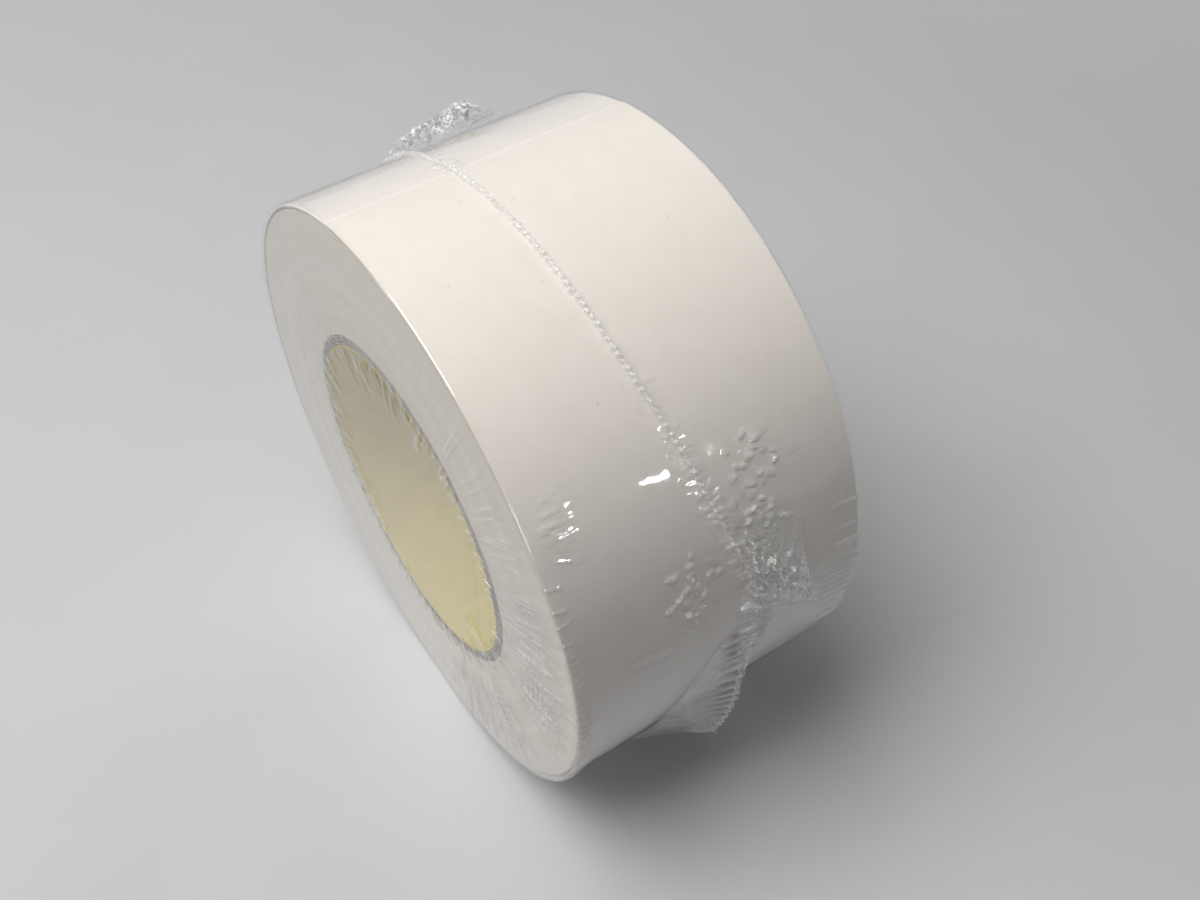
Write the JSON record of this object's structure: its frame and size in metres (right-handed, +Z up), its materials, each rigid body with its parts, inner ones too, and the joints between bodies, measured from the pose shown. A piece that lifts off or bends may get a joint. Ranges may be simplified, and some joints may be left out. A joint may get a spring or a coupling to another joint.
{
  "type": "splicing tape roll",
  "caption": "Wide roll of white paper-lined splicing tape on a round board core, sealed in clear shrink film with a seam round the rim and gathered corners, standing on its edge.",
  "frame": {"origin": "on the base flat that the roll stands on, straight under the middle of the core's axis", "axes": "+Z up from the floor; +Y along the core's axis, from the front end to the rear end; +X to the right of someone facing the front end"},
  "size_m": [0.1457, 0.072, 0.1424],
  "materials": {
    "liner_paper": "satin",
    "adhesive_tape": "satin",
    "wound_edge": "matte",
    "chipboard": "matte",
    "lining_paper": "satin",
    "shrink_film": "gloss"
  },
  "bodies": {
    "root": {"core_lining": "lining_paper", "core_ply_inner": "chipboard", "core_ply_middle": "chipboard", "core_ply_outer": "chipboard", "wound_tape": "wound_edge", "tape_last_turn": "adhesive_tape", "liner_last_turn": "liner_paper", "film_front_panel": "shrink_film", "film_rear_panel": "shrink_film", "film_trim_seal": "shrink_film", "film_ear_upper": "shrink_film", "film_ear_right": "shrink_film", "film_ear_lower": "shrink_film", "film_ear_back": "shrink_film"}
  },
  "joints": []
}
